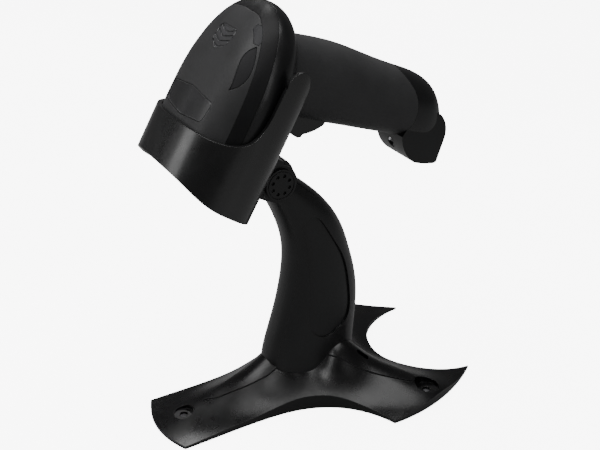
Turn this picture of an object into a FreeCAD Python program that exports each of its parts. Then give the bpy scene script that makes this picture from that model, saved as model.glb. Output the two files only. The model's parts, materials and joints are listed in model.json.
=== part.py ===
"""Hands-free barcode scanner resting in its tilting stand.

Units are millimetres.  The row frame has +Z up, the table at z = 0, the scanning side
towards -Y and the scanner's left side towards +X.  The cradle and the scanner are drawn
in their own frame (nose towards -Y, top cover towards +Z, origin on the tilt axis) and
are then placed by the cradle angle and the height of the tilt axis.
"""
import FreeCAD, Part
import math
import os

V = FreeCAD.Vector
doc = FreeCAD.newDocument("BarcodeScanner")

# ---------------------------------------------------------------- driving dimensions
SIZES = {
    "pivot_height": 131, "pivot_y": -20, "cradle_angle": 60,
    "head_half_width": 35, "head_mid": 42, "head_crown": 18.5, "head_keel": 24,
    "head_widest": 20, "head_rear_length": 57, "nose_face": -8, "shell_wall": 2,
    "cover_seam": 51, "band_seam": 45, "seam_gap": 0.1,
    "grip_half_width": 15.3, "grip_half_depth": 20.2, "grip_lean": 0.137, "grip_wall": 2.2,
    "cup_half_width": 38, "cup_half_depth": 24.5, "cup_mid": 38.7, "cup_wall": 2.1,
    "tongue_width": 11.6, "tongue_radius": 11.5, "ear_radius": 9.7, "ear_span": 23,
    "bolt_radius": 3, "running_gap": 0.05, "cap_radius": 8.2, "cap_thickness": 1.6,
    "neck_core_width": 17,
    "base_front": 88.25, "base_height": 26, "base_edge": 2.2, "base_wall": 2.4,
    "foot_pad_radius": 6, "foot_pad_height": 2, "plate_thickness": 2.2,
    "battery_radius": 7.2, "battery_length": 49, "board_thickness": 1.2,
    "trigger_width": 16.6, "trigger_pin_radius": 1.25, "trigger_y": 36.5, "trigger_z": 12.2,
}
sheet = doc.addObject("Spreadsheet::Sheet", "Sizes")
for row, (alias, value) in enumerate(SIZES.items(), start=1):
    sheet.set("A%d" % row, alias)
    sheet.set("B%d" % row, str(value))
    sheet.setAlias("B%d" % row, alias)
doc.recompute()


def size(alias):
    """Current value of one driving dimension."""
    return float(sheet.get(alias))


FINISHED = []


# ---------------------------------------------------------------- small builders
def add(kind, name, **values):
    """Add a document object; text values are expressions, other values are set."""
    thing = doc.addObject(kind, name)
    if hasattr(thing, "Refine"):
        thing.Refine = False
    for key, value in values.items():
        if isinstance(value, str):
            thing.setExpression(key, value)
        else:
            setattr(thing, key, value)
    return thing


def at(x=0, y=0, z=0, axis=(0, 0, 1), angle=0):
    """Placement at a point, turned about an axis."""
    return FreeCAD.Placement(V(x, y, z), FreeCAD.Rotation(V(*axis), angle))


def box(name, low, high):
    """Block between two corners."""
    span = [b - a for a, b in zip(low, high)]
    return add("Part::Box", name, Length=span[0], Width=span[1], Height=span[2], Placement=at(*low))


def rod(name, radius, start, length, axis="z"):
    """Round bar from a start point along x, y or z."""
    turn = {"z": ((0, 0, 1), 0), "x": ((0, 1, 0), 90), "y": ((1, 0, 0), -90)}[axis]
    bar = add("Part::Cylinder", name, Radius=radius)
    if isinstance(length, str):
        bar.setExpression("Height", length)
    else:
        bar.Height = length
    bar.Placement = at(*start, *turn)
    return bar


def join(name, *parts):
    return add("Part::MultiFuse", name, Shapes=list(parts))


def cut(name, base, *tools):
    """Take one tool after another away from a base."""
    for step, tool in enumerate(tools, start=1):
        label = name if step == len(tools) else "%s_cut_%d" % (name, step)
        base = add("Part::Cut", label, Base=base, Tool=tool)
    return base


def common(name, base, tool):
    return add("Part::Common", name, Base=base, Tool=tool)


def group(name, *parts):
    """Identical separate solids kept in one sub-part."""
    return add("Part::Compound", name, Links=list(parts))


def copy_of(name, source, placement):
    """A second copy of an object, moved by a placement."""
    doc.recompute()
    shape = source.Shape.copy()
    shape.Placement = placement.multiply(shape.Placement)
    twin = doc.addObject("Part::Feature", name)
    twin.Shape = shape
    return twin


def mirrored(name, source):
    """The same object on the other side of the middle plane."""
    return add("Part::Mirroring", name, Source=source, Normal=V(1, 0, 0))


def swept(name, profile, direction, length):
    """Closed profile extruded into a solid."""
    solid = add("Part::Extrusion", name, Base=profile, Dir=direction, LengthFwd=length, Solid=True)
    solid.DirMode = "Custom"
    return solid


def slab(name, points, half_width, side=None):
    """Side profile in the YZ plane, extruded equally to both sides of the middle plane.

    A point is (y, z); a tuple of points inside the list is a smooth stretch through them.
    """
    reach = (-half_width, half_width) if side is None else side
    edges = []
    last = None
    for item in points:
        stretch = list(item) if isinstance(item[0], tuple) else [item]
        spots = [V(reach[0], y, z) for y, z in stretch]
        if last is not None and (last - spots[0]).Length > 1e-6:
            edges.append(Part.makeLine(last, spots[0]))
        if len(spots) > 1:
            curve = Part.BSplineCurve()
            curve.interpolate(spots)
            edges.append(curve.toShape())
        last = spots[-1]
    first = edges[0].Vertexes[0].Point
    if (last - first).Length > 1e-6:
        edges.append(Part.makeLine(last, first))
    profile = doc.addObject("Part::Feature", name + "_profile")
    profile.Shape = Part.Wire(edges)
    return swept(name, profile, V(1, 0, 0), reach[1] - reach[0])


def plate(name, points, low, high, radius=0.0):
    """Straight-sided plan outline extruded between two heights, its upright corners rounded."""
    corners = [V(x, y, low) for x, y in points]
    solid = Part.Face(Part.makePolygon(corners + corners[:1])).extrude(V(0, 0, high - low))
    if radius:
        upright = [edge for edge in solid.Edges if abs(edge.tangentAt(edge.FirstParameter).z) > 0.9]
        solid = solid.makeFillet(radius, upright)
    body = doc.addObject("Part::Feature", name)
    body.Shape = solid
    return body


def ring_of(points):
    """Smooth closed section through its points."""
    curve = Part.BSplineCurve()
    curve.interpolate(points, PeriodicFlag=True)
    return Part.Wire(curve.toShape())


def loft(name, sections):
    """Solid through closed sections."""
    solid = doc.addObject("Part::Feature", name)
    solid.Shape = Part.makeLoft(sections, True)
    return solid


def oval(x, y, z, half_x, half_y, tilt=0, power=2.0, count=16):
    """Closed oval section lying flat, tilted about the X direction by an angle."""
    spots = []
    for step in range(count):
        turn = 2 * math.pi * step / count
        across = half_x * math.copysign(abs(math.cos(turn)) ** (2 / power), math.cos(turn))
        along = half_y * math.copysign(abs(math.sin(turn)) ** (2 / power), math.sin(turn))
        lean = math.radians(tilt)
        spots.append(V(x + across, y + along * math.cos(lean), z + along * math.sin(lean)))
    return ring_of(spots)


def finish(thing, label, in_cradle_frame=False):
    """Name a finished sub-part and, where needed, set it into the tilted cradle frame."""
    if in_cradle_frame and not thing.Placement.isIdentity():
        thing.Label = label + "_form"
        thing = group(label + "_set", thing)
    thing.Label = label
    if thing.Label != label:
        raise RuntimeError("label already taken: %s" % label)
    if in_cradle_frame:
        thing.Placement = at(0, size("pivot_y"), size("pivot_height"), (1, 0, 0), size("cradle_angle"))
        thing.setExpression("Placement.Base.y", "Sizes.pivot_y")
        thing.setExpression("Placement.Base.z", "Sizes.pivot_height")
        thing.setExpression("Placement.Rotation.Angle", "Sizes.cradle_angle")
    FINISHED.append(thing)


# ---------------------------------------------------------------- scanner head forms
def head_section(y, shrink):
    """Cross-section of the head at a station: flat crown, soft ridges, slanted sides, round belly."""
    reach = size("head_rear_length") - shrink
    along = (y - size("head_widest")) / reach
    if along > 0:
        wide = (1 - along ** 2.5) ** 0.4
        tall = math.sqrt(1 - along ** 2)
        deep = tall
    else:
        nose = (along * reach / (size("head_widest") - size("nose_face"))) ** 2
        wide, tall, deep = 1 - 0.11 * nose, 1 - 0.10 * nose, 1 - 0.12 * nose
    half = (size("head_half_width") - shrink) * wide
    crown = (size("head_crown") - shrink) * tall
    keel = (size("head_keel") - shrink) * deep
    upper = [(0, 1), (0.33, 0.985), (0.62, 0.9), (0.84, 0.62), (0.955, 0.3), (1, 0)]
    lower = [(0.96, -0.35), (0.8, -0.68), (0.45, -0.93), (0, -1)]
    side = [(half * u, crown * v) for u, v in upper] + [(half * u, keel * v) for u, v in lower]
    loop = side + [(-u, v) for u, v in reversed(side[1:-1])]
    return ring_of([V(u, y, size("head_mid") + v) for u, v in loop])


def head_form(name, front, shrink=0.0):
    """The whole head as one solid, or its hollow when shrunk by the wall."""
    widest = size("head_widest")
    reach = size("head_rear_length") - shrink
    stations = [front, (front + widest) / 2, widest]
    stations += [widest + reach * step for step in (0.3, 0.55, 0.75, 0.9, 0.97, 0.995, 0.9995)]
    return loft(name, [head_section(y, shrink) for y in stations])


NOSE = size("nose_face")
MID = size("head_mid")
HEAD = head_form("head_form", NOSE)
HOLLOW = head_form("head_hollow", NOSE + 3.5, size("shell_wall"))
REAR = size("head_widest") + size("head_rear_length")
BEZEL_BACK = NOSE + 3.5


def head_zone(name, low, high, front=BEZEL_BACK):
    """Slice of space between two seam heights, behind the nose bezel."""
    return box(name, (-50, front, low), (50, REAR + 5, high))


# ---------------------------------------------------------------- top cover and its inserts
GAP = size("seam_gap")
shell_block = cut("shell_block", HEAD, HOLLOW)
cover_raw = common("cover_raw", shell_block, head_zone("cover_zone", size("cover_seam") + GAP, 80))
sunk_deep = copy_of("sunk_deep", HEAD, at(0, 0, -1.2))
sunk_low = copy_of("sunk_low", HEAD, at(0, 0, -0.35))

GRILLE_MID = 54.0


BADGE_BOW = 2.2


def badge_outline(grow):
    """Wide badge with bowed long edges, a little narrower towards the nose."""
    back, front = 25.5 + grow, 15.5 - grow
    wide, narrow = 21 + grow, 19 + grow
    return [(-wide, back), (0, back + BADGE_BOW), (wide, back),
            (narrow, front), (0, front - BADGE_BOW), (-narrow, front)]


def grille_outline(grow):
    """Shield of the speaker grille, pointed towards the nose."""
    back, waist, tip = GRILLE_MID + 5 + grow, GRILLE_MID - 3.5, GRILLE_MID - 7.5 - grow
    return [(-8.5 - grow, back), (8.5 + grow, back), (7 + grow, waist), (0, tip), (-7 - grow, waist)]


badge_prism = plate("badge_prism", badge_outline(0), 50, 75, 2.4)
grille_prism = plate("grille_prism", grille_outline(0), 50, 75, 3)
recess_prisms = group("recess_prisms", plate("badge_pocket", badge_outline(0.15), 50, 75, 2.5),
                      plate("grille_pocket", grille_outline(0.15), 50, 75, 3.1))
recesses = cut("recesses", recess_prisms, sunk_deep)

SOUND_HOLES = [rod("sound_hole_%d" % k, 0.7, (3.0 * math.cos(k * math.pi / 3),
               GRILLE_MID + 3.0 * math.sin(k * math.pi / 3), 50), 12) for k in range(6)]
PIPE_TOP = 53.3
PIPE_SIDES = (("left", 15.5), ("right", -23.5))
LIGHT_NOTCHES = [box("light_notch_%s" % side, (x, 57, 50), (x + 8, 65.5, PIPE_TOP + GAP))
                 for side, x in PIPE_SIDES]
INLAY_MIDDLE = (45.2, 54.1)
INLAY_UPPER = ((34.5, 56.6), (44, 56.2), (52, 54.8), (56, 52.3))
INLAY_LOWER = ((56, 52.3), (48, 51.9), (41, 52.9), (34.5, 56.6))
INLAY_DEPTH = 1.0
INLAY_SET_BACK = 0.3


def inlay_prism(name, side, grow):
    """Leaf-shaped block through one flank of the cover; the pocket's is a little larger."""
    mid_y, mid_z = INLAY_MIDDLE
    stretches = [tuple((mid_y + (y - mid_y) * grow, mid_z + (z - mid_z) * grow) for y, z in stretch)
                 for stretch in (INLAY_UPPER, INLAY_LOWER)]
    return slab(name, stretches, 0, (16, 40) if side > 0 else (-40, -16))


inlay_pockets = [cut("inlay_pocket_%s" % word, inlay_prism("inlay_pocket_prism_%s" % word, side, 1.04),
                     copy_of("inlay_pocket_floor_%s" % word, HEAD, at(-side * INLAY_DEPTH)))
                 for word, side in (("left", 1), ("right", -1))]
sound_holes = group("sound_holes", *SOUND_HOLES)
cover_pierced = cut("cover_pierced", cover_raw, recesses, sound_holes, group("light_notches", *LIGHT_NOTCHES),
                    *inlay_pockets)

badge_blank = common("badge_blank", badge_prism, sunk_low)
badge_plate = cut("badge_plate", badge_blank, copy_of("badge_floor", sunk_deep, at()))
finish(badge_plate, "badge_plate", True)


def chevron(name, y):
    """One bent rib gap across the grille."""
    outline = [(-7, y + 2.2), (0, y), (7, y + 2.2), (7, y + 3.0), (0, y + 0.8), (-7, y + 3.0)]
    return plate(name, outline, 48, 75)


grille_top = common("grille_top", grille_prism, copy_of("grille_skin", HEAD, at(0, 0, -0.15)))
grille_blank = cut("grille_blank", grille_top, copy_of("grille_floor", sunk_deep, at()))
grille_depth = copy_of("grille_depth", HEAD, at(0, 0, -0.8))
chevrons = group("chevrons", *[chevron("chevron_%d" % k, GRILLE_MID - 6 + 2.6 * k) for k in range(4)])
grille_slots = cut("grille_slots", chevrons, grille_depth)
speaker_grille = cut("speaker_grille", grille_blank, grille_slots)
finish(speaker_grille, "speaker_grille", True)

# ---------------------------------------------------------------- band, light pipes, inlays
band_zone = head_zone("band_zone", size("band_seam") + GAP, size("cover_seam"))
head_band = common("head_band", shell_block, band_zone)
finish(head_band, "head_band", True)
for word, side in (("left", 1), ("right", -1)):
    inlay_skin = common("inlay_skin_%s" % word, inlay_prism("inlay_prism_%s" % word, side, 1),
                        copy_of("inlay_face_%s" % word, HEAD, at(-side * INLAY_SET_BACK)))
    inlay_floor = copy_of("inlay_floor_%s" % word, HEAD, at(-side * INLAY_DEPTH))
    inlay = cut("side_inlay_%s" % word, inlay_skin, inlay_floor)
    finish(inlay, "side_inlay_%s" % word, True)

for side, x in PIPE_SIDES:
    zone = box("pipe_%s_zone" % side, (x + 0.1, 57.1, size("cover_seam")), (x + 7.9, 65.4, PIPE_TOP))
    finish(common("light_pipe_%s" % side, shell_block, zone), "light_pipe_%s" % side, True)

# ---------------------------------------------------------------- grip and lower housing
GRIP_CENTRE = 52.9
GRIP_TAPER = 0.055
GRIP_NARROWING = 0.09
END_START = -54
END_LENGTH = 31
END_DROP = 14


def grip_section(z, shrink):
    """Flat oval section of the grip at a height; it flares into the head and rounds off below."""
    centre = GRIP_CENTRE - size("grip_lean") * z
    flare = 3 * math.exp(min(z - 30, 0) / 9)
    deep = size("grip_half_depth") + GRIP_TAPER * min(z, 0) - GRIP_NARROWING * max(z, 0) + flare - shrink
    wide = size("grip_half_width") + 0.9 * flare - shrink
    if z < END_START:
        fall = (END_START - z) / END_LENGTH
        centre -= END_DROP * fall ** 2
        deep *= math.sqrt(1 - fall ** 2)
        wide *= math.sqrt(1 - fall ** 2)
    return oval(0, centre, z, wide, deep, power=2.2)


def grip_form(name, shrink, heights):
    return loft(name, [grip_section(z, shrink) for z in heights])


GRIP = grip_form("grip_form", 0, (32, 16, 0, -20, -40, -54, -66, -75, -81, -84, -84.6))
GRIP_HOLLOW = grip_form("grip_hollow", size("grip_wall"), (34, 16, 0, -20, -40, -54, -62, -70))
COLLAR_HEIGHTS = (31, 20, 10)
COLLAR = grip_form("collar_form", 1.2, COLLAR_HEIGHTS)
COLLAR_OPENING = grip_form("collar_opening", 1.1, COLLAR_HEIGHTS)

SCREW_SPOTS = [(-22, 2), (22, 2), (-22, 40), (22, 40)]
BOARD_SPOTS = [(-14, 4), (14, 4), (-14, 26), (14, 26)]
BOARD_LOW = 31.8


def posts(name, spots, radius, low, high):
    """Round posts at several spots, kept as one object."""
    return group(name, *[rod("%s_%d" % (name, k), radius, (x, y, low), high - low)
                         for k, (x, y) in enumerate(spots)])


post_floor = copy_of("post_floor", HEAD, at(0, 0, 1))
tube_rods = posts("tube_rods", SCREW_SPOTS, 3.2, 12, size("band_seam") - 0.05)
screw_tubes = common("screw_tubes", tube_rods, post_floor)
board_posts = common("board_posts", posts("post_rods", BOARD_SPOTS, 2.4, 12, BOARD_LOW), post_floor)
lower_raw = common("lower_raw", shell_block, head_zone("lower_zone", -10, size("band_seam")))
lower_full = join("lower_full", lower_raw, screw_tubes, board_posts)
lower_housing = cut("lower_housing", lower_full, COLLAR_OPENING,
                      posts("head_sinks", SCREW_SPOTS, 2.6, 10, 30),
                    posts("shank_holes", SCREW_SPOTS, 1.6, 10, 60),
                    posts("board_pilots", BOARD_SPOTS, 1.0, 24, 40))
finish(lower_housing, "lower_housing", True)

# The cover carries the threaded columns that the housing screws pull down.
columns = common("columns", posts("column_rods", SCREW_SPOTS, 3.0, size("band_seam"), 60),
                 copy_of("column_ceiling", HEAD, at(0, 0, -1.5)))
cover_full = join("cover_full", cover_pierced, columns)
top_cover = cut("top_cover", cover_full, posts("pilots", SCREW_SPOTS, 1.27, 40, 51))
finish(top_cover, "top_cover", True)


def screw(name, x, y, low, head_radius, head_height, shank_radius, length):
    """Screw standing on its head, driven upwards."""
    return join(name, rod(name + "_head", head_radius, (x, y, low), head_height),
                rod(name + "_shank", shank_radius, (x, y, low + head_height), length))


finish(group("housing_screws", *[screw("housing_screw_%d" % k, x, y, 28, 2.4, 1.98, 1.25, 20)
                                 for k, (x, y) in enumerate(SCREW_SPOTS)]), "housing_screws", True)

CAP_SEAM = ((95, -22), (79, -33), (73.5, -42.5), (68, -50.5), (60, -55.8), (51, -57.6), (43, -55.6), (20, -46))
cap_line = [CAP_SEAM, (20, -110), (95, -110)]
cap_zone = slab("cap_zone", cap_line, 30)
cap_zone_low = slab("cap_zone_low", [tuple((y, z - 0.12) for y, z in cap_line[0]), (20, -110), (95, -110)], 30)

grip_skin = cut("grip_skin", GRIP, HEAD)
grip_solid = join("grip_solid", grip_skin, COLLAR)
grip_shell = cut("grip_shell", grip_solid, GRIP_HOLLOW, cap_zone)
HALF_TRIGGER = 6.8
cheeks = common("cheeks", group("cheek_blocks", box("cheek_left", (HALF_TRIGGER, 33, 6), (9.6, 42, 17.5)),
                                box("cheek_right", (-9.6, 33, 6), (-HALF_TRIGGER, 42, 17.5))), GRIP)
switch_wall = common("switch_wall", box("switch_wall_block", (-20, 48, -11), (20, 49.8, 9)), GRIP)
battery_roof = common("battery_roof", box("battery_roof_block", (-20, 49.8, 2), (20, 64, 4)), GRIP)
cap_tongue = join("cap_tongue", box("tongue_root", (-6, 44.6, -53.5), (6, 50.2, -47.5)),
                  box("tongue_leaf", (-4.5, 47.9, -67), (4.5, 50.2, -53.5)))
handle_full = join("handle_full", grip_shell, cheeks, switch_wall, battery_roof, cap_tongue)
trigger_slot = box("trigger_slot", (-HALF_TRIGGER, 20, -14), (HALF_TRIGGER, 41.9, 30))
TRIGGER_AXIS = (size("trigger_y"), size("trigger_z"))
pin_bore = rod("pin_bore", "Sizes.trigger_pin_radius", (-9.2, *TRIGGER_AXIS), 18.4, "x")
cap_pilot = rod("cap_pilot", 1.27, (0, 40, -62), 12, "y")
handle = cut("handle", handle_full, trigger_slot, pin_bore, cap_pilot)
finish(handle, "handle", True)

# ---------------------------------------------------------------- end cap with its foot
foot = slab("foot", [(64, -60), (64, -74), ((64, -74), (60, -80.5), (52, -84)), (40.5, -86),
                     ((39.4, -85.2), (36.6, -78), (35.4, -72)), ((35.4, -72), (37.5, -65), (45, -57))], 12)
cap_full = join("cap_full", GRIP, foot)
cap_lower = common("cap_lower", cap_full, cap_zone_low)
cap_shell = cut("cap_shell", cap_lower, copy_of("cap_hollow", GRIP_HOLLOW, at()))
battery_rest = box("battery_rest", (-6, 52, -72), (6, 64, -48.7))
cap_built = join("cap_built", cap_shell, battery_rest)
PAD_SPOTS = [(-5, 49), (5, 49)]
PAD_LOW, PAD_TOP = -84.7, -82.5
end_cap = cut("end_cap", cap_built, rod("cap_screw_sink", 2.6, (0, 20, -62), 22, "y"),
              rod("cap_screw_hole", 1.5, (0, 30, -62), 18, "y"),
              posts("pad_sinks", PAD_SPOTS, 1.5, -95, PAD_TOP))
finish(end_cap, "end_cap", True)
finish(group("contact_pads", *[rod("contact_pad_%d" % k, 1.48, (x, y, PAD_LOW), PAD_TOP - PAD_LOW)
                               for k, (x, y) in enumerate(PAD_SPOTS)]), "contact_pads", True)
finish(join("cap_screw", rod("cap_screw_head", 2.4, (0, 40.4, -62), 1.6, "y"),
            rod("cap_screw_shank", 1.25, (0, 42, -62), 8.2, "y")), "cap_screw", True)

battery = rod("battery", "Sizes.battery_radius", (0, 58, -48), "Sizes.battery_length")
finish(battery, "battery", True)
finish(group("battery_contacts", box("contact_top", (-4, 54, 1.1), (4, 62, 1.9)),
             box("contact_low", (-4, 54, -48.6), (4, 62, -48.1))), "battery_contacts", True)

# ---------------------------------------------------------------- trigger group
trigger_blank = slab("trigger_blank", [(40, 15.8), (30, 15.8), ((30, 15.8), (26, 9), (23.8, -1)), (24.6, -2.6),
                                       ((26.4, -3.2), (29, -7), (34.5, -12)), (38, -12.6), (39.2, -2)],
                     size("trigger_width") / 2 - 1.8)
BORE_RADIUS = "Sizes.trigger_pin_radius + Sizes.running_gap"
trigger_bore = rod("trigger_bore", BORE_RADIUS, (-12, *TRIGGER_AXIS), 24, "x")
trigger = cut("trigger", trigger_blank, trigger_bore)
finish(trigger, "trigger", True)
trigger_pin = rod("trigger_pin", "Sizes.trigger_pin_radius - 0.01", (-9.1, *TRIGGER_AXIS), 18.2, "x")
finish(trigger_pin, "trigger_pin", True)
finish(cut("trigger_switch", box("switch_block", (-3, 42.2, -9), (3, 47.95, -3)),
           rod("switch_bore", 1.0, (0, 42, -6), 5.4, "y")), "trigger_switch", True)
finish(rod("switch_plunger", 0.95, (0, 39.1, -6), 4.9, "y"), "switch_plunger", True)


def coil(name, start, length, radius, wire, turns):
    """Compression spring along Y."""
    spring = doc.addObject("Part::Feature", name)
    helix = Part.makeHelix(length / turns, length, radius)
    seat = Part.Wire(Part.makeCircle(wire, V(radius, 0, 0), V(0, 1, 0)))
    solid = Part.Wire(helix).makePipeShell([seat], True, True)
    solid.Placement = at(*start, (1, 0, 0), -90)
    spring.Shape = solid
    return spring


SPRING_SEAT = 39.8
SPRING_LENGTH = 7.85
finish(coil("trigger_spring", (0, SPRING_SEAT, 3), SPRING_LENGTH, 2.0, 0.3, 5), "trigger_spring", True)

# ---------------------------------------------------------------- scan engine and electronics
bezel_block = common("bezel_block", HEAD, box("bezel_zone", (-50, NOSE - 1, 0), (50, BEZEL_BACK, 80)))
nose_bezel = cut("nose_bezel", bezel_block,
                 box("window_opening", (-22, NOSE - 1, 30), (22, BEZEL_BACK + 1, 51)),
                 box("window_rebate", (-24, -6.1, 28), (24, BEZEL_BACK + 1, 53)))
finish(nose_bezel, "nose_bezel", True)
finish(box("scan_window", (-23.9, -6.1, 28.1), (23.9, -4.7, 52.9)), "scan_window", True)

BOARD_TOP = BOARD_LOW + size("board_thickness")
main_board = cut("main_board", box("board_blank", (-17.5, -1, BOARD_LOW), (17.5, 44, BOARD_TOP)),
                 posts("board_holes", BOARD_SPOTS, 1.1, 20, 40))
finish(main_board, "main_board", True)
finish(group("board_screws", *[
    join("board_screw_%d" % k, rod("board_screw_head_%d" % k, 1.9, (x, y, BOARD_TOP), 1.1),
         rod("board_screw_shank_%d" % k, 0.98, (x, y, BOARD_TOP - 6), 6))
    for k, (x, y) in enumerate(BOARD_SPOTS)]), "board_screws", True)
chassis = cut("imager_chassis", box("chassis_block", (-11, 6, BOARD_TOP), (11, 22, BOARD_TOP + 15)),
              rod("lens_bore", 4.5, (0, 5, BOARD_TOP + 7.5), 9, "y"),
              rod("light_bore_left", 1.6, (8, 5, BOARD_TOP + 7.5), 5, "y"),
              rod("light_bore_right", 1.6, (-8, 5, BOARD_TOP + 7.5), 5, "y"))
finish(chassis, "imager_chassis", True)
finish(rod("imager_lens", 4.45, (0, 3, BOARD_TOP + 7.5), 10.9, "y"), "imager_lens", True)
finish(group("aiming_lights", rod("light_left", 1.55, (8, 4, BOARD_TOP + 7.5), 5.9, "y"),
             rod("light_right", 1.55, (-8, 4, BOARD_TOP + 7.5), 5.9, "y")), "aiming_lights", True)
finish(rod("beeper", 6, (0, 34, BOARD_TOP), 6), "beeper", True)

# ---------------------------------------------------------------- cradle cup and its bracket
def cup_ring(name, shrink):
    """Rounded-oval tube of the cup, running along the nose direction."""
    spots = []
    wide = size("cup_half_width") - shrink
    deep = size("cup_half_depth") - shrink
    for step in range(20):
        turn = 2 * math.pi * step / 20
        across = wide * math.copysign(abs(math.cos(turn)) ** (2 / 2.7), math.cos(turn))
        rise = deep * math.copysign(abs(math.sin(turn)) ** (2 / 2.7), math.sin(turn))
        spots.append(V(across, -26, size("cup_mid") + rise))
    outline = doc.addObject("Part::Feature", name + "_outline")
    outline.Shape = ring_of(spots)
    return swept(name, outline, V(0, 1, 0), 90)


cup_outer = cup_ring("cup_outer", 0)
cup_inner = cup_ring("cup_inner", size("cup_wall"))
ledge_inner = cup_ring("ledge_inner", size("cup_wall") + 4)
cup_side = slab("cup_side", [
    ((-9, 68), (-11.5, 61), (-15.5, 52), (-17.8, 40), (-19, 26), (-20.5, 8)), (6, 8),
    ((6, 8), (7, 16), (12, 21.5), (22, 23.2), (34, 23.8), (46, 24.5)),
    ((46, 24.5), (53, 27.5), (55.5, 32), (53, 36.2), (46, 37.8)),
    ((46, 37.8), (34, 38.2), (24, 39.4), (17, 43), (13.4, 49), (11.2, 58), (10, 68))], 45)
cup_tube = cut("cup_tube", cup_outer, cup_inner)
cup_wall = common("cup_wall_body", cup_tube, cup_side)
ledge_ring = cut("ledge_ring", cup_outer, ledge_inner)
ledge_band = common("ledge_band", ledge_ring, box("ledge_zone", (-45, -10.5, 0), (45, NOSE, 80)))
ledge = common("ledge", ledge_band, cup_side)
BRACKET_SPOTS = [-5.5, 6]
cup_built = join("cup_built", cup_wall, ledge)
CUP_FLOOR = size("cup_mid") - size("cup_half_depth") + size("cup_wall")
cup_holes = [rod("cup_hole_%d" % k, 1.6, (0, y, 5), 20) for k, y in enumerate(BRACKET_SPOTS)]
cup_seats = [rod("cup_seat_%d" % k, 2.9, (0, y, CUP_FLOOR), 3) for k, y in enumerate(BRACKET_SPOTS)]
cup = cut("cup", cup_built, *cup_holes, *cup_seats)
finish(cup, "cup", True)

TONGUE = size("tongue_width") / 2 - 0.5
tongue_round = rod("tongue_round", "Sizes.tongue_radius", (-TONGUE, 0, 0), 2 * TONGUE, "x")
tongue_block = box("tongue_block", (-TONGUE, -10, 0), (TONGUE, 11.4, 17))
flange_block = box("flange_block", (-12.4, -10, 4), (12.4, 11.4, 17))
flange = cut("flange", flange_block, rod("flange_pocket", "Sizes.ear_radius + 0.4", (-20, 0, 0), 40, "x"))
bracket_full = join("bracket_full", tongue_round, tongue_block, flange)
bracket = cut("bracket", bracket_full, copy_of("cup_seat", cup_outer, at()),
              rod("bolt_hole", "Sizes.bolt_radius + Sizes.running_gap", (-20, 0, 0), 40, "x"),
              *[rod("bracket_pilot_%d" % k, 1.27, (0, y, 6), 12) for k, y in enumerate(BRACKET_SPOTS)])
finish(bracket, "bracket", True)
finish(group("bracket_screws", *[
    join("bracket_screw_%d" % k, rod("bracket_screw_head_%d" % k, 2.6, (0, y, CUP_FLOOR + 0.02), 1.2),
         rod("bracket_screw_shank_%d" % k, 1.25, (0, y, CUP_FLOOR - 8), 8.02))
    for k, y in enumerate(BRACKET_SPOTS)]), "bracket_screws", True)

# ---------------------------------------------------------------- neck of the stand
NECK_SPINE = [(2.5, 16, 27, 16.3, 0), (3, 28, 26.5, 15.8, 0), (6, 44, 25, 15.2, 2), (8, 62, 22.5, 14.4, 5),
              (7, 80, 19, 13.3, 10), (3, 97, 16, 12.3, 20), (-4, 110, 13, 11.6, 32),
              (-12, 121, 10, 11.1, 38), (-17.5, 128, 8.4, 10.6, 38)]
PIVOT = (size("pivot_y"), size("pivot_height"))
EAR_OUT = size("ear_span") / 2


def neck_form(name, shrink, spine):
    """Horn-shaped neck through oval sections that lean forward towards the top."""
    return loft(name, [oval(0, y, z, half_x - shrink, half_y - shrink, tilt, power=2.3)
                       for y, z, half_y, half_x, tilt in spine])


NECK = neck_form("neck_solid", 0, NECK_SPINE)
NECK_HOLLOW = neck_form("neck_hollow", 2.6, NECK_SPINE[:6])
NECK_SKIN = neck_form("neck_skin", 0.9, NECK_SPINE)


def pivot_rod(name, radius, low, high):
    """Round bar on the tilt axis between two distances from the middle plane."""
    return rod(name, radius, (low, *PIVOT), high - low, "x")


CORE = size("neck_core_width") / 2
EAR_IN = size("tongue_width") / 2 + 0.1
ears = pivot_rod("ears", "Sizes.ear_radius", -EAR_OUT, EAR_OUT)
neck_top = join("neck_top", NECK, ears)
neck_open = cut("neck_open", neck_top, NECK_HOLLOW,
                pivot_rod("tongue_room", "Sizes.tongue_radius + 0.4", -EAR_IN, EAR_IN),
                pivot_rod("neck_bolt_hole", "Sizes.bolt_radius + Sizes.running_gap", -20, 20))

# ---------------------------------------------------------------- base
LEG_TURN = 137.0
LEG_REACH = 92.0
HUB_Y = 3.0
EDGE = size("base_edge")


def leg_height(x, y, turn):
    """Rise of one leg's rounded ridge; turn is the leg's heading measured from the front."""
    heading = math.radians(turn)
    along = x * math.sin(heading) - (y - HUB_Y) * math.cos(heading)
    aside = x * math.cos(heading) + (y - HUB_Y) * math.sin(heading)
    if along <= 0 or along >= LEG_REACH:
        return 0.0
    rise = (1 - math.exp(-(along / 14) ** 2)) * (1 - along / LEG_REACH)
    return 22 * rise * math.exp(-(aside / 16.5) ** 2)


def base_height(x, y):
    """Height of the base's top surface: a hub and three ridges running out to the feet."""
    hub = (size("base_height") - 4) * math.exp(-(x * x + (y - HUB_Y) ** 2) / 24 ** 2)
    return EDGE + hub + sum(leg_height(x, y, turn) for turn in (0, LEG_TURN, -LEG_TURN))


def under_surface(name, lift):
    """Solid under the base's top surface, raised or sunk by a lift."""
    span_x, span_y, step = 66, 96, 6
    grid = [[V(x, y, base_height(x, y) + lift) for y in range(-span_y, span_y + 1, step)]
            for x in range(-span_x, span_x + 1, step)]
    surface = Part.BSplineSurface()
    surface.interpolate(grid)
    solid = doc.addObject("Part::Feature", name)
    solid.Shape = surface.toShape().extrude(V(0, 0, -60))
    return solid


def smooth(points):
    curve = Part.BSplineCurve()
    curve.interpolate([V(x, y, 0) for x, y in points])
    return curve.toShape()


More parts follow.
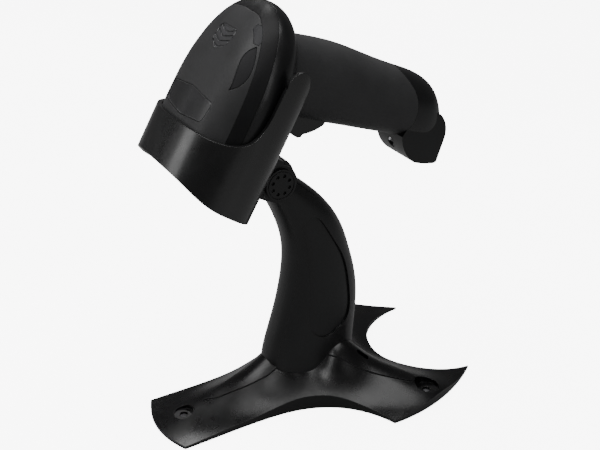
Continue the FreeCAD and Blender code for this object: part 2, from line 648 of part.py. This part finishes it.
FRONT = [(-22.9, -82.5), (0, -size("base_front")), (22.9, -82.5)]
SIDE = [(22.9, -82.5), (22, -60), (21.5, -38), (24, -14), (34, 6), (46, 16.5), (58.5, 22.5)]
TIP = (36.5, size("base_front"))
END = [(58.5, 22.5), (57, 42), (50, 65), TIP]
NOTCH = [TIP, (31.5, 70), (19, 55), (0, 49), (-19, 55), (-31.5, 70), (-TIP[0], TIP[1])]


def flip(points):
    """The same stretch on the other side, run backwards so the outline stays closed."""
    return [(-x, y) for x, y in reversed(points)]


OUTLINE = (FRONT, SIDE, END, NOTCH, flip(END), flip(SIDE))


def unit(a, b):
    """Direction from one plan point to another."""
    length = math.hypot(b[0] - a[0], b[1] - a[1])
    return ((b[0] - a[0]) / length, (b[1] - a[1]) / length)


def drawn_in(stretches, inset):
    """The outline's stretches with every point moved inwards by the same wall thickness."""
    loop = [point for stretch in stretches for point in stretch[:-1]]
    moved = []
    for here, point in enumerate(loop):
        before = unit(loop[here - 1], point)
        after = unit(point, loop[(here + 1) % len(loop)])
        across = (-(before[1] + after[1]) / 2, (before[0] + after[0]) / 2)
        scale = inset / (across[0] ** 2 + across[1] ** 2)
        moved.append((point[0] + across[0] * scale, point[1] + across[1] * scale))
    moved.append(moved[0])
    result, start = [], 0
    for stretch in stretches:
        result.append(moved[start:start + len(stretch)])
        start += len(stretch) - 1
    return result


def base_prism(name, inset, low, high):
    """The base's plan outline, drawn in by an inset, between two heights."""
    outline = Part.Wire([smooth(stretch) for stretch in drawn_in(OUTLINE, inset)])
    solid = doc.addObject("Part::Feature", name)
    face = Part.Face(outline)
    face.translate(V(0, 0, low))
    solid.Shape = face.extrude(V(0, 0, high - low))
    return solid


BASE_LOW = 0.8
BASE_TOP = under_surface("base_top_form", 0)
base_solid = common("base_solid", base_prism("base_plan", 0, BASE_LOW, 60), BASE_TOP)
base_hollow = common("base_hollow", base_prism("base_inner_plan", size("base_wall"), -5, 60),
                     under_surface("base_inner_form", -size("base_wall")))


def along_leg(turn, distance):
    """Point on a leg's centre line."""
    heading = math.radians(turn)
    return (distance * math.sin(heading), HUB_Y - distance * math.cos(heading))


LEGS = (0, LEG_TURN, -LEG_TURN)
ANCHORS = [along_leg(turn, reach) for turn, reach in zip(LEGS, (76, 67, 67))]
ANCHOR_RADIUS = 2.2
PLATE_SPOTS = [along_leg(turn, 36) for turn in LEGS]
PAD_CENTRES = [along_leg(turn, 55) for turn in LEGS]
PLATE_LOW, PLATE_TOP = BASE_LOW, BASE_LOW + size("plate_thickness")


def blade(name, turn):
    """Raised blade running from the neck out towards a leg's anchor hole."""
    prism = Part.Face(Part.makePolygon([V(x, -y, 0) for x, y in (
        (-9.5, 12), (9.5, 12), (8.3, 30), (3.2, 58), (0, 64), (-3.2, 58), (-8.3, 30), (-9.5, 12))]))
    prism = prism.extrude(V(0, 0, 60))
    prism.rotate(V(0, 0, 0), V(0, 0, 1), turn)
    prism.translate(V(0, HUB_Y, 0))
    body = doc.addObject("Part::Feature", name)
    body.Shape = prism
    return body


blades = common("blades", join("blade_prisms", *[blade("blade_%d" % k, turn) for k, turn in enumerate(LEGS)]),
                under_surface("blade_top_form", 0.9))
anchor_posts = common("anchor_posts", posts("anchor_rods", ANCHORS, 8.5, PLATE_TOP, 40),
                      copy_of("post_ceiling", BASE_TOP, at(0, 0, -0.8)))
plate_posts = common("plate_posts", posts("plate_rods", PLATE_SPOTS, 4, PLATE_TOP, 40),
                     copy_of("plate_post_ceiling", BASE_TOP, at(0, 0, -0.8)))
NECK_SPOTS = [(0, -17), (0, 23.8)]
NECK_SCREW_HEAD = 2.0


def neck_seat(x, y):
    """Height of the flat seat that a neck screw's head bears on, under the hub."""
    return base_height(x, y) - size("base_wall") - 0.6


neck_seats = common("neck_seats", group("neck_seat_rods", *[
    rod("neck_seat_%d" % k, 3.9, (x, y, neck_seat(x, y)), 20) for k, (x, y) in enumerate(NECK_SPOTS)]),
    copy_of("neck_seat_ceiling", BASE_TOP, at(0, 0, -0.8)))
head_rooms = group("head_rooms", *[rod("head_room_%d" % k, 2.8, (x, y, neck_seat(x, y) - 8), 8)
                                   for k, (x, y) in enumerate(NECK_SPOTS)])
base_shelled = cut("base_shelled", join("base_bladed", base_solid, blades), base_hollow)
base_full = join("base_full", base_shelled, anchor_posts, plate_posts, neck_seats)
pockets = group("pockets", *[rod("pocket_%d" % k, radius, (x, y, 4.4), 40)
                             for k, ((x, y), radius) in enumerate(zip(ANCHORS, (5.2, 6.8, 6.8)))])


def ridge_slot(name, turn):
    """Oval cable slot lying along a rear leg's ridge."""
    ends = [along_leg(turn, reach) for reach in (29, 33)]
    low, high = 14, 44
    middle = along_leg(turn, 31)
    bridge = add("Part::Box", name + "_bridge", Length=3.2, Width=4, Height=high - low)
    spin = FreeCAD.Rotation(V(0, 0, 1), turn)
    bridge.Placement = FreeCAD.Placement(V(*middle, low) - spin.multVec(V(1.6, 2, 0)), spin)
    rounds = [rod("%s_end_%d" % (name, k), 1.6, (x, y, low), high - low) for k, (x, y) in enumerate(ends)]
    return join(name, bridge, *rounds)


slots = group("cable_slots", *[ridge_slot("ridge_slot_%d" % k, turn) for k, turn in enumerate(LEGS[1:])])
base_shell = cut("base_shell", base_full, pockets, slots, head_rooms,
                 posts("anchor_holes", ANCHORS, ANCHOR_RADIUS, -2, 20),
                 posts("plate_pilots", PLATE_SPOTS, 1.47, 0, 12), posts("neck_holes", NECK_SPOTS, 1.6, 8, 40),
                 box("rim_trim", (-70, -100, -10), (70, 100, BASE_LOW)))
finish(base_shell, "base_shell")

PLATE_CLEARANCE = 0.4
plate_prism = base_prism("plate_prism", size("base_wall") + PLATE_CLEARANCE, PLATE_LOW, PLATE_TOP)
plate_trim = under_surface("plate_trim_form", -size("base_wall") - PLATE_CLEARANCE / 2)
base_plate = cut("base_plate", common("plate_blank", plate_prism, plate_trim),
                 posts("plate_anchor_holes", ANCHORS, ANCHOR_RADIUS, -2, 6),
                 posts("plate_holes", PLATE_SPOTS, 1.6, -2, 6),
                 posts("plate_sinks", PLATE_SPOTS, 3.0, -2, 1.9),
                 posts("pad_seats", PAD_CENTRES, size("foot_pad_radius"), -2, size("foot_pad_height")))
finish(base_plate, "base_plate")
rubber_feet = [rod("rubber_foot_%d" % k, "Sizes.foot_pad_radius", (x, y, 0), "Sizes.foot_pad_height")
               for k, (x, y) in enumerate(PAD_CENTRES)]
finish(group("rubber_feet", *rubber_feet), "rubber_feet")
finish(group("plate_screws", *[screw("plate_screw_%d" % k, x, y, 0.85, 2.8, 1.05, 1.45, 9)
                               for k, (x, y) in enumerate(PLATE_SPOTS)]), "plate_screws")

# The neck is trimmed to the base's top surface, so its foot sits on the hub all round.
neck_bosses = join("neck_bosses", *[rod("neck_boss_%d" % k, 4.2, (x, y, 14), 30)
                                    for k, (x, y) in enumerate(NECK_SPOTS)])
neck_bossed = join("neck_bossed", neck_open, common("neck_bosses_in", neck_bosses, NECK_SKIN))
base_mass = join("base_mass", copy_of("base_mass_top", base_solid, at()),
                 copy_of("base_mass_blades", blades, at()))
neck_seated = cut("neck_seated", neck_bossed, base_mass,
                  posts("neck_pilots", NECK_SPOTS, 1.47, 10, 36))
neck_core = common("neck_core", neck_seated, box("core_zone", (-CORE, -60, 0), (CORE, 60, 150)))
finish(neck_core, "neck_core")
RECESS_FRONT = ((-7, 104), (-4.4, 90), (-3.2, 72), (-4.2, 55), (-3, 42), (3, 37), (12, 39))
RECESS_REAR = ((12, 39), (20, 44), (21.5, 60), (18, 80), (9, 97), (0, 108), (-7, 104))
recess_outline = slab("recess_outline", [RECESS_FRONT, RECESS_REAR], 20, (8, 20))
recess_left = cut("recess_left", recess_outline, copy_of("recess_skin", NECK_SKIN, at()))
side_left = common("side_left_blank", copy_of("neck_seated_left", neck_seated, at()),
                   box("left_zone", (CORE + 0.05, -60, 0), (30, 60, 150)))
neck_side_left = cut("neck_side_left", side_left, recess_left)
finish(neck_side_left, "neck_side_left")
neck_side_right = mirrored("neck_side_right", neck_side_left)
finish(neck_side_right, "neck_side_right")
def neck_screw(name, x, y):
    """Screw driven up into the neck from under the base's hub."""
    head_low = neck_seat(x, y) - NECK_SCREW_HEAD
    return screw(name, x, y, head_low, 2.6, NECK_SCREW_HEAD, 1.45, 10)


finish(group("neck_screws", *[neck_screw("neck_screw_%d" % k, x, y)
                              for k, (x, y) in enumerate(NECK_SPOTS)]), "neck_screws")

# ---------------------------------------------------------------- tilt joint
finish(pivot_rod("tilt_bolt", "Sizes.bolt_radius", -EAR_OUT, EAR_OUT), "tilt_bolt")
washer_in, washer_out = TONGUE + 0.02, EAR_IN - 0.02
finish(group("friction_washers", *[
    cut("washer_%s" % side, pivot_rod("washer_disc_%s" % side, 8.8, low, high),
        pivot_rod("washer_hole_%s" % side, "Sizes.bolt_radius + Sizes.running_gap", low - 1, high + 1))
    for side, low, high in (("left", washer_in, washer_out), ("right", -washer_out, -washer_in))]),
    "friction_washers")


PIN_RING, PIN_HOLE, PIN_DEPTH = 4.9, 0.95, 0.9
GROOVE_IN, GROOVE_OUT, GROOVE_DEPTH = 6.9, 7.4, 0.4


def pivot_cap(side, low):
    """Round cap over a bolt end, with eight pin holes and a groove round its outer face."""
    high = low + size("cap_thickness")
    disc = pivot_rod("cap_disc_%s" % side, "Sizes.cap_radius", low, high)
    pin_low = low if low < 0 else high - PIN_DEPTH
    holes = []
    for step in range(8):
        turn = math.radians(22.5 + 45 * step)
        spot = (pin_low, PIVOT[0] + PIN_RING * math.cos(turn), PIVOT[1] + PIN_RING * math.sin(turn))
        holes.append(rod("cap_pin_hole_%s_%d" % (side, step), PIN_HOLE, spot, PIN_DEPTH, "x"))
    groove_low = low if low < 0 else high - GROOVE_DEPTH
    groove_high = groove_low + GROOVE_DEPTH
    groove = cut("cap_groove_%s" % side, pivot_rod("groove_rim_%s" % side, GROOVE_OUT, groove_low, groove_high),
                 pivot_rod("groove_core_%s" % side, GROOVE_IN, groove_low, groove_high))
    marks = group("cap_marks_%s" % side, groove, *holes)
    finish(cut("pivot_cap_%s" % side, disc, marks), "pivot_cap_%s" % side)


pivot_cap("left", EAR_OUT + 0.01)
pivot_cap("right", -EAR_OUT - 0.01 - size("cap_thickness"))

# ---------------------------------------------------------------- check and write every sub-part
doc.recompute()
broken = [thing.Name for thing in doc.Objects if "Invalid" in thing.State or "Error" in thing.State]
if broken:
    raise RuntimeError("objects in error: %s" % broken)
CLOSE_FITS = (("base_plate", "base_shell"), ("end_cap", "handle"))
LARGEST_OVERLAP = 0.01
placed = {thing.Label: thing for thing in FINISHED}
for first, second in CLOSE_FITS:
    if placed[first].Shape.common(placed[second].Shape).Volume > LARGEST_OVERLAP:
        raise RuntimeError("%s cuts into %s" % (first, second))
os.makedirs("parts", exist_ok=True)
for thing in FINISHED:
    if thing.Shape.isNull() or not thing.Shape.isValid():
        raise RuntimeError("bad shape: %s" % thing.Label)
    thing.Shape.exportStep("parts/%s.step" % thing.Label)
    print(thing.Label, round(thing.Shape.Volume, 1), len(thing.Shape.Solids))
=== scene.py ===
"""Looks of a hands-free barcode scanner in its tilting stand.

Lengths are in metres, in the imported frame: +Z up, the table at z = 0, the scanning side
towards -Y and the scanner's left side towards +X.
"""

import json
import math

import bmesh
import bpy
from mathutils import Matrix, Vector
from mathutils.bvhtree import BVHTree
from mathutils.geometry import convex_hull_2d


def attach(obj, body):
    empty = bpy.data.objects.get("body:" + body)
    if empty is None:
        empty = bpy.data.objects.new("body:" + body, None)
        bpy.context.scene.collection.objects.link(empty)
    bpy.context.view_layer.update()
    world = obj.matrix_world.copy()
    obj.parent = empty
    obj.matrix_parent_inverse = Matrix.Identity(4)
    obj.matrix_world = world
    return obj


MM = 0.001
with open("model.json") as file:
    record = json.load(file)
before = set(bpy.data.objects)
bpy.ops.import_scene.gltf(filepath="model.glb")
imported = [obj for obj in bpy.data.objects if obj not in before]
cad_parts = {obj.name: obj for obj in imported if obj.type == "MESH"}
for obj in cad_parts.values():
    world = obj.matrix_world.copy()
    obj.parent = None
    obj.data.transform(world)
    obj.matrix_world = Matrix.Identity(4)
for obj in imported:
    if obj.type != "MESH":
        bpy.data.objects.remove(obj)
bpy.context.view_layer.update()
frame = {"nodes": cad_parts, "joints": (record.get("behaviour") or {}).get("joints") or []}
NODES = frame["nodes"]
JOINTS = {joint["name"]: joint for joint in frame["joints"]}
TILT_POINT = Vector(JOINTS["cradle_tilt"]["pos_m"])
LIFT = Vector(JOINTS["scanner_lift"]["axis"]).normalized()
CRADLE_ANGLE = math.acos(LIFT.y)
CRADLE = Matrix.Translation(TILT_POINT) @ Matrix.Rotation(CRADLE_ANGLE, 4, "X")


# ---------------------------------------------------------------- node helpers for materials
def new_material(name):
    """A new node material, its node tree and its principled shader."""
    material = bpy.data.materials.new(name)
    material.use_nodes = True
    tree = material.node_tree
    return material, tree, tree.nodes["Principled BSDF"]


def node(tree, kind, **values):
    """Add a shader node; values set its inputs by name, or its own settings."""
    made = tree.nodes.new(kind)
    for key, value in values.items():
        label = key.replace("_", " ").title()
        if label in made.inputs:
            made.inputs[label].default_value = value
        else:
            setattr(made, key, value)
    return made


def noise(tree, coords, size, detail=4.0, roughness=0.55):
    """Noise whose grains are about the given size across."""
    made = node(tree, "ShaderNodeTexNoise", scale=1 / size, detail=detail, roughness=roughness)
    tree.links.new(coords, made.inputs["Vector"])
    return made.outputs["Fac"]


def remap(tree, value, low_in, high_in, low_out, high_out):
    """Value range to value range, clamped."""
    made = tree.nodes.new("ShaderNodeMapRange")
    made.inputs["From Min"].default_value = low_in
    made.inputs["From Max"].default_value = high_in
    made.inputs["To Min"].default_value = low_out
    made.inputs["To Max"].default_value = high_out
    tree.links.new(value, made.inputs["Value"])
    return made.outputs["Result"]


def arithmetic(tree, operation, a, b):
    """One sum, difference or product of two sockets or numbers, kept between 0 and 1."""
    made = tree.nodes.new("ShaderNodeMath")
    made.operation = operation
    made.use_clamp = True
    for slot, value in zip(made.inputs, (a, b)):
        if isinstance(value, (int, float)):
            slot.default_value = value
        else:
            tree.links.new(value, slot)
    return made.outputs["Value"]


def mixed(tree, share, first, second):
    """Colour between two colours, by a share."""
    made = tree.nodes.new("ShaderNodeMix")
    made.data_type = "RGBA"
    tree.links.new(share, made.inputs["Factor"])
    for socket, value in ((made.inputs[6], first), (made.inputs[7], second)):
        if isinstance(value, tuple):
            socket.default_value = (*value, 1)
        else:
            tree.links.new(value, socket)
    return made.outputs[2]


EDGE_ROUNDING = 0.3 * MM
EDGE_POLISH = 0.2
COAT_ROUGHNESS = 0.18


def rounded_normal(tree):
    """Surface direction with every edge softly rounded."""
    return node(tree, "ShaderNodeBevel", radius=EDGE_ROUNDING, samples=6).outputs["Normal"]


def grained_normal(tree, shader, rounded, height, depth):
    """Lay a fine grain over the rounded surface direction."""
    bump = node(tree, "ShaderNodeBump", strength=1.0, distance=depth)
    tree.links.new(rounded, bump.inputs["Normal"])
    tree.links.new(height, bump.inputs["Height"])
    tree.links.new(bump.outputs["Normal"], shader.inputs["Normal"])


def edge_wear_and_highlight(tree, coords, rounded, amount):
    """Share of polish and of lighter colour wherever rounding turns the surface, broken up by noise; the
    lighter colour is wear together with a painted edge highlight.
    """
    turned = tree.nodes.new("ShaderNodeVectorMath")
    turned.operation = "DOT_PRODUCT"
    tree.links.new(rounded, turned.inputs[0])
    tree.links.new(tree.nodes.new("ShaderNodeNewGeometry").outputs["Normal"], turned.inputs[1])
    edges = remap(tree, turned.outputs["Value"], 0.75, 0.97, amount, 0)
    patches = remap(tree, noise(tree, coords, 6 * MM), 0.4, 0.65, 0.25, 1)
    return arithmetic(tree, "MULTIPLY", edges, patches)


def plastic(name, colour, rough, grain, depth, sheen=0.0, coat=0.0, wear_and_highlight=0.5, specular=0.3):
    """Moulded plastic: spark-eroded grain, slow changes of gloss, handling marks, and worn edges whose
    lighter colour is also a painted edge highlight.
    """
    material, tree, shader = new_material(name)
    coords = tree.nodes.new("ShaderNodeTexCoord").outputs["Object"]
    rounded = rounded_normal(tree)
    worn_and_highlit = edge_wear_and_highlight(tree, coords, rounded, wear_and_highlight)
    mottled = noise(tree, coords, 14 * MM, 3)
    # Lighter colour along the edges: wear, and a painted highlight along the rims.
    lighter = tuple(min(1, c * 1.9 + 0.012) for c in colour)
    deeper = tuple(c * 0.82 for c in colour)
    base = mixed(tree, remap(tree, mottled, 0.35, 0.65, 0, 1), deeper, colour)
    tree.links.new(mixed(tree, worn_and_highlit, base, lighter), shader.inputs["Base Color"])

    smudges = remap(tree, noise(tree, coords, 22 * MM, 5, 0.65), 0.42, 0.7, -0.03, 0.07)
    slow_change = remap(tree, mottled, 0.3, 0.7, rough - 0.03, rough + 0.04)
    handled = arithmetic(tree, "ADD", slow_change, smudges)
    polish = arithmetic(tree, "MULTIPLY", worn_and_highlit, EDGE_POLISH)
    tree.links.new(arithmetic(tree, "SUBTRACT", handled, polish), shader.inputs["Roughness"])

    grained_normal(tree, shader, rounded, noise(tree, coords, grain, 2, 0.5), depth)
    shader.inputs["Specular IOR Level"].default_value = specular
    shader.inputs["Sheen Weight"].default_value = sheen
    shader.inputs["Coat Weight"].default_value = coat
    shader.inputs["Coat Roughness"].default_value = COAT_ROUGHNESS
    return material


def cover_plastic():
    """Matt charcoal moulding of the head cover."""
    return plastic("cover_plastic", (0.0165, 0.0165, 0.0173), 0.5, 0.45 * MM, 0.02 * MM, sheen=0.05)


def band_plastic():
    return plastic("band_plastic", (0.0045, 0.0045, 0.005), 0.48, 0.45 * MM, 0.012 * MM, specular=0.18)


def inlay_plastic():
    """Dull inserts in the flanks of the cover."""
    return plastic("inlay_plastic", (0.011, 0.011, 0.012), 0.58, 0.4 * MM, 0.015 * MM, specular=0.15)


def badge_plastic():
    """Blank badge, a shade darker than the cover around it."""
    return plastic("badge_plastic", (0.017, 0.017, 0.018), 0.4, 0.4 * MM, 0.006 * MM, coat=0.1)


def grip_plastic():
    """Near-black grip with a fine speckled texture."""
    return plastic("grip_plastic", (0.027, 0.027, 0.028), 0.5, 0.6 * MM, 0.035 * MM, sheen=0.04, wear_and_highlight=0.6)


def housing_plastic():
    return plastic("housing_plastic", (0.0065, 0.0065, 0.007), 0.33, 0.4 * MM, 0.006 * MM, coat=0.15)


def cup_plastic():
    """Satin black moulding of the cup, its sheen soft and even."""
    return plastic("cup_plastic", (0.003, 0.003, 0.0033), 0.3, 0.5 * MM, 0.001 * MM,
                   coat=0.3, specular=0.5)


def neck_plastic():
    return plastic("neck_plastic", (0.0055, 0.0055, 0.006), 0.34, 0.5 * MM, 0.007 * MM, coat=0.15)


def base_plastic():
    """Satin base with a fine texture that breaks its highlights into sparkle."""
    return plastic("base_plastic", (0.003, 0.003, 0.0033), 0.27, 0.7 * MM, 0.03 * MM, specular=0.35)


def gloss_plastic():
    return plastic("gloss_plastic", (0.004, 0.004, 0.0043), 0.2, 0.8 * MM, 0.001 * MM, coat=0.6, wear_and_highlight=0.3)


def rim_plastic():
    """Slightly paler polished edge of the inserts."""
    return plastic("rim_plastic", (0.04, 0.04, 0.042), 0.3, 0.8 * MM, 0.001 * MM, coat=0.4)


def rubber():
    return plastic("rubber", (0.012, 0.012, 0.012), 0.78, 0.3 * MM, 0.03 * MM, sheen=0.2, wear_and_highlight=0.2)


def metal(name, colour, rough, stretch=(1, 1, 24)):
    """Turned or drawn metal with fine directional lines and light tarnish."""
    material, tree, shader = new_material(name)
    coords = tree.nodes.new("ShaderNodeTexCoord").outputs["Object"]
    mapping = node(tree, "ShaderNodeMapping", scale=stretch)
    tree.links.new(coords, mapping.inputs["Vector"])
    lines = noise(tree, mapping.outputs["Vector"], 0.9 * MM, 5)
    tarnish = remap(tree, noise(tree, coords, 3 * MM), 0.4, 0.7, 0, 1)
    tarnished = mixed(tree, tarnish, colour, tuple(c * 0.7 for c in colour))
    tree.links.new(tarnished, shader.inputs["Base Color"])
    tree.links.new(remap(tree, lines, 0.3, 0.7, rough, rough + 0.2), shader.inputs["Roughness"])
    bump = node(tree, "ShaderNodeBump", strength=0.4, distance=0.01 * MM)
    tree.links.new(lines, bump.inputs["Height"])
    tree.links.new(bump.outputs["Normal"], shader.inputs["Normal"])
    shader.inputs["Metallic"].default_value = 1
    return material


def steel():
    return metal("steel", (0.55, 0.55, 0.57), 0.25)


def brass():
    return metal("brass", (0.8, 0.6, 0.28), 0.22, (1, 1, 1))


def clear(name, colour, rough):
    """Tinted clear moulding with faint dust that dulls it in patches."""
    material, tree, shader = new_material(name)
    coords = tree.nodes.new("ShaderNodeTexCoord").outputs["Object"]
    dust = remap(tree, noise(tree, coords, 5 * MM, 6), 0.5, 0.75, rough, rough + 0.15)
    tree.links.new(dust, shader.inputs["Roughness"])
    tint = remap(tree, noise(tree, coords, 18 * MM), 0.35, 0.65, 0, 1)
    tinted = mixed(tree, tint, colour, tuple(c * 0.85 for c in colour))
    tree.links.new(tinted, shader.inputs["Base Color"])
    shader.inputs["Transmission Weight"].default_value = 0.85
    shader.inputs["IOR"].default_value = 1.49
    return material


def window_glass():
    return clear("window_glass", (0.4, 0.06, 0.07), 0.04)


def lens_glass():
    return clear("lens_glass", (0.25, 0.3, 0.5), 0.02)


def light_guide():
    """Smoked diffuser, dark while its lamp is off."""
    return plastic("light_guide", (0.016, 0.016, 0.018), 0.5, 0.3 * MM, 0.01 * MM, specular=0.2)


def circuit_board():
    """Green solder mask with darker copper tracks under it."""
    material, tree, shader = new_material("circuit_board")
    coords = tree.nodes.new("ShaderNodeTexCoord").outputs["Object"]
    cells = node(tree, "ShaderNodeTexVoronoi", scale=1 / (2.4 * MM), feature="DISTANCE_TO_EDGE")
    cells.distance = "EUCLIDEAN"
    tree.links.new(coords, cells.inputs["Vector"])
    tracks = remap(tree, cells.outputs["Distance"], 0.04, 0.08, 1, 0)
    mask = mixed(tree, tracks, (0.008, 0.06, 0.03), (0.02, 0.12, 0.05))
    tree.links.new(mask, shader.inputs["Base Color"])
    gloss = remap(tree, noise(tree, coords, 1.5 * MM), 0.3, 0.7, 0.25, 0.4)
    tree.links.new(gloss, shader.inputs["Roughness"])
    bump = node(tree, "ShaderNodeBump", strength=0.5, distance=0.03 * MM)
    tree.links.new(tracks, bump.inputs["Height"])
    tree.links.new(bump.outputs["Normal"], shader.inputs["Normal"])
    return material


def battery_wrap():
    return plastic("battery_wrap", (0.02, 0.07, 0.2), 0.22, 2 * MM, 0.02 * MM, coat=0.4, wear_and_highlight=0.2)


WEARS = {
    cover_plastic: ["top_cover"],
    band_plastic: ["head_band"],
    badge_plastic: ["badge_plate"],
    grip_plastic: ["handle"],
    housing_plastic: ["lower_housing", "nose_bezel", "bracket", "pivot_cap_left", "pivot_cap_right"],
    inlay_plastic: ["side_inlay_left", "side_inlay_right"],
    cup_plastic: ["cup"],
    neck_plastic: ["neck_core", "neck_side_left", "neck_side_right", "end_cap"],
    base_plastic: ["base_shell"],
    gloss_plastic: ["trigger", "switch_plunger", "imager_chassis", "trigger_switch", "beeper"],
    rim_plastic: ["speaker_grille"],
    rubber: ["rubber_feet", "friction_washers"],
    steel: ["housing_screws", "board_screws", "cap_screw", "bracket_screws", "plate_screws", "neck_screws",
            "tilt_bolt", "trigger_pin", "trigger_spring", "base_plate"],
    brass: ["battery_contacts", "contact_pads"],
    window_glass: ["scan_window"],
    lens_glass: ["imager_lens"],
    light_guide: ["light_pipe_left", "light_pipe_right", "aiming_lights"],
    circuit_board: ["main_board"],
    battery_wrap: ["battery"],
}


def dress_nodes():
    """Give every CAD node its material; the imported normals already shade it smoothly."""
    looks = {}
    for make, names in WEARS.items():
        material = looks[make] = make()
        for name in names:
            part = NODES[name]
            part.data.materials.clear()
            part.data.materials.append(material)
    return looks


LOOKS = dress_nodes()


# ---------------------------------------------------------------- fine details
CLEAR_OF_COVER = 90 * MM
BEAD_STEP = 1.2 * MM


def in_cradle(name):
    """A node's points in the cradle's own frame: nose towards -Y, top cover towards +Z."""
    back = CRADLE.inverted()
    return [back @ vertex.co for vertex in NODES[name].data.vertices]


def stepped(loop, step):
    """Closed loop with points added so that none are further apart than the step."""
    dense = []
    for here, there in zip(loop, loop[1:] + loop[:1]):
        count = max(1, math.ceil((there - here).length / step))
        dense += [here.lerp(there, k / count) for k in range(count)]
    return dense


def on_surface(tree, flat):
    """Point of a surface straight under a flat spot of the cradle's frame, or None."""
    above = CRADLE @ Vector((flat.x, flat.y, CLEAR_OF_COVER))
    down = CRADLE.to_3x3() @ Vector((0, 0, -1))
    return tree.ray_cast(above, down)[0]


def bead(name, points, radius, material, body):
    """Thin round bead along a closed loop."""
    curve = bpy.data.curves.new(name, "CURVE")
    curve.dimensions = "3D"
    curve.bevel_depth = radius
    curve.bevel_resolution = 3
    line = curve.splines.new("POLY")
    line.points.add(len(points) - 1)
    for spot, point in zip(line.points, points):
        spot.co = (*point, 1)
    line.use_cyclic_u = True
    curve.materials.append(material)
    thing = bpy.data.objects.new(name, curve)
    bpy.context.scene.collection.objects.link(thing)
    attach(thing, body)
    return thing


def outline_bead(name, node_name, share, radius, material):
    """Bead that follows a plate's outline, drawn in by a share and lying on its face."""
    flat = [Vector((point.x, point.y)) for point in in_cradle(node_name)]
    hull = [flat[k] for k in convex_hull_2d(flat)]
    middle = sum(hull, Vector((0, 0))) / len(hull)
    loop = stepped([middle + (spot - middle) * share for spot in hull], BEAD_STEP)
    part = NODES[node_name]
    corners = [vertex.co for vertex in part.data.vertices]
    faces = [face.vertices for face in part.data.polygons]
    surface = BVHTree.FromPolygons(corners, faces)
    points = [hit for hit in (on_surface(surface, spot) for spot in loop) if hit]
    bead(name, points, radius, material, "scanner")


def add_details():
    rim = LOOKS[rim_plastic]
    outline_bead("badge_rim", "badge_plate", 0.955, 0.22 * MM, rim)
    outline_bead("grille_rim", "speaker_grille", 0.93, 0.25 * MM, rim)


add_details()


# ---------------------------------------------------------------- studio
ROOM_GLOW = 0.12
BACKDROP_GLOW = 7.2
FLOOR_GLOW = 8.0
FLOOR_BOUNCE = (0.32, 0.32, 0.32)


def add_floor():
    """Plain pale floor that bounces little light back, so that the black undersides stay dark."""
    mesh = bpy.data.meshes.new("floor")
    form = bmesh.new()
    bmesh.ops.create_grid(form, x_segments=1, y_segments=1, size=6)
    form.to_mesh(mesh)
    form.free()
    floor = bpy.data.objects.new("floor", mesh)
    bpy.context.scene.collection.objects.link(floor)
    material, tree, shader = new_material("floor_paint")
    coords = tree.nodes.new("ShaderNodeTexCoord").outputs["Object"]
    tone = remap(tree, noise(tree, coords, 0.3), 0.3, 0.7, 0, 1)
    pale = mixed(tree, tone, (0.88, 0.88, 0.88), (0.92, 0.92, 0.92))
    camera_ray = tree.nodes.new("ShaderNodeLightPath").outputs["Is Camera Ray"]
    tree.links.new(mixed(tree, camera_ray, FLOOR_BOUNCE, pale), shader.inputs["Base Color"])
    tree.links.new(pale, shader.inputs["Emission Color"])
    tree.links.new(remap(tree, camera_ray, 0, 1, 0, FLOOR_GLOW), shader.inputs["Emission Strength"])
    shader.inputs["Roughness"].default_value = 0.8
    shader.inputs["Specular IOR Level"].default_value = 0.1
    mesh.materials.append(material)


def softbox(name, azimuth, elevation, distance, width, height, power):
    """Large soft light aimed at the middle of the object."""
    light = bpy.data.lights.new(name, "AREA")
    light.shape = "RECTANGLE"
    light.size, light.size_y, light.energy = width, height, power
    lamp = bpy.data.objects.new(name, light)
    bpy.context.scene.collection.objects.link(lamp)
    place(lamp, azimuth, elevation, distance, Vector((0, 0, 0.11)))


def place(thing, azimuth, elevation, distance, target):
    """Stand a light or camera off a target and turn it to face it."""
    turn, rise = math.radians(azimuth), math.radians(elevation)
    away = Vector((math.sin(turn) * math.cos(rise), -math.cos(turn) * math.cos(rise), math.sin(rise)))
    thing.location = target + away * distance
    thing.rotation_euler = (-away).to_track_quat("-Z", "Y").to_euler()


def add_camera():
    data = bpy.data.cameras.new("camera")
    data.sensor_width, data.lens = 36, 61.4
    camera = bpy.data.objects.new("camera", data)
    bpy.context.scene.collection.objects.link(camera)
    place(camera, 60.28, 26.92, 0.5318, Vector((0, -0.002, 0.0991)))
    bpy.context.scene.camera = camera


def add_world():
    world = bpy.data.worlds.new("studio")
    world.use_nodes = True
    tree = world.node_tree
    background = tree.nodes["Background"]
    background.inputs["Color"].default_value = (1, 1, 1, 1)
    rays = tree.nodes.new("ShaderNodeLightPath")
    seen = remap(tree, rays.outputs["Is Camera Ray"], 0, 1, ROOM_GLOW, BACKDROP_GLOW)
    tree.links.new(seen, background.inputs["Strength"])
    bpy.context.scene.world = world


add_floor()
softbox("key", 350, 62, 1.3, 0.7, 0.7, 12)
softbox("overhead", 120, 78, 1.5, 1.0, 1.0, 13)
softbox("side_strip", 100, 20, 1.4, 0.2, 0.9, 1.8)
softbox("rim", 250, 48, 1.3, 0.4, 0.3, 3.5)
softbox("front_strip", -34, 17, 1.2, 0.34, 0.8, 2.6)
softbox("spark", 56, 48, 1.0, 0.08, 0.08, 0.85)
add_world()
add_camera()
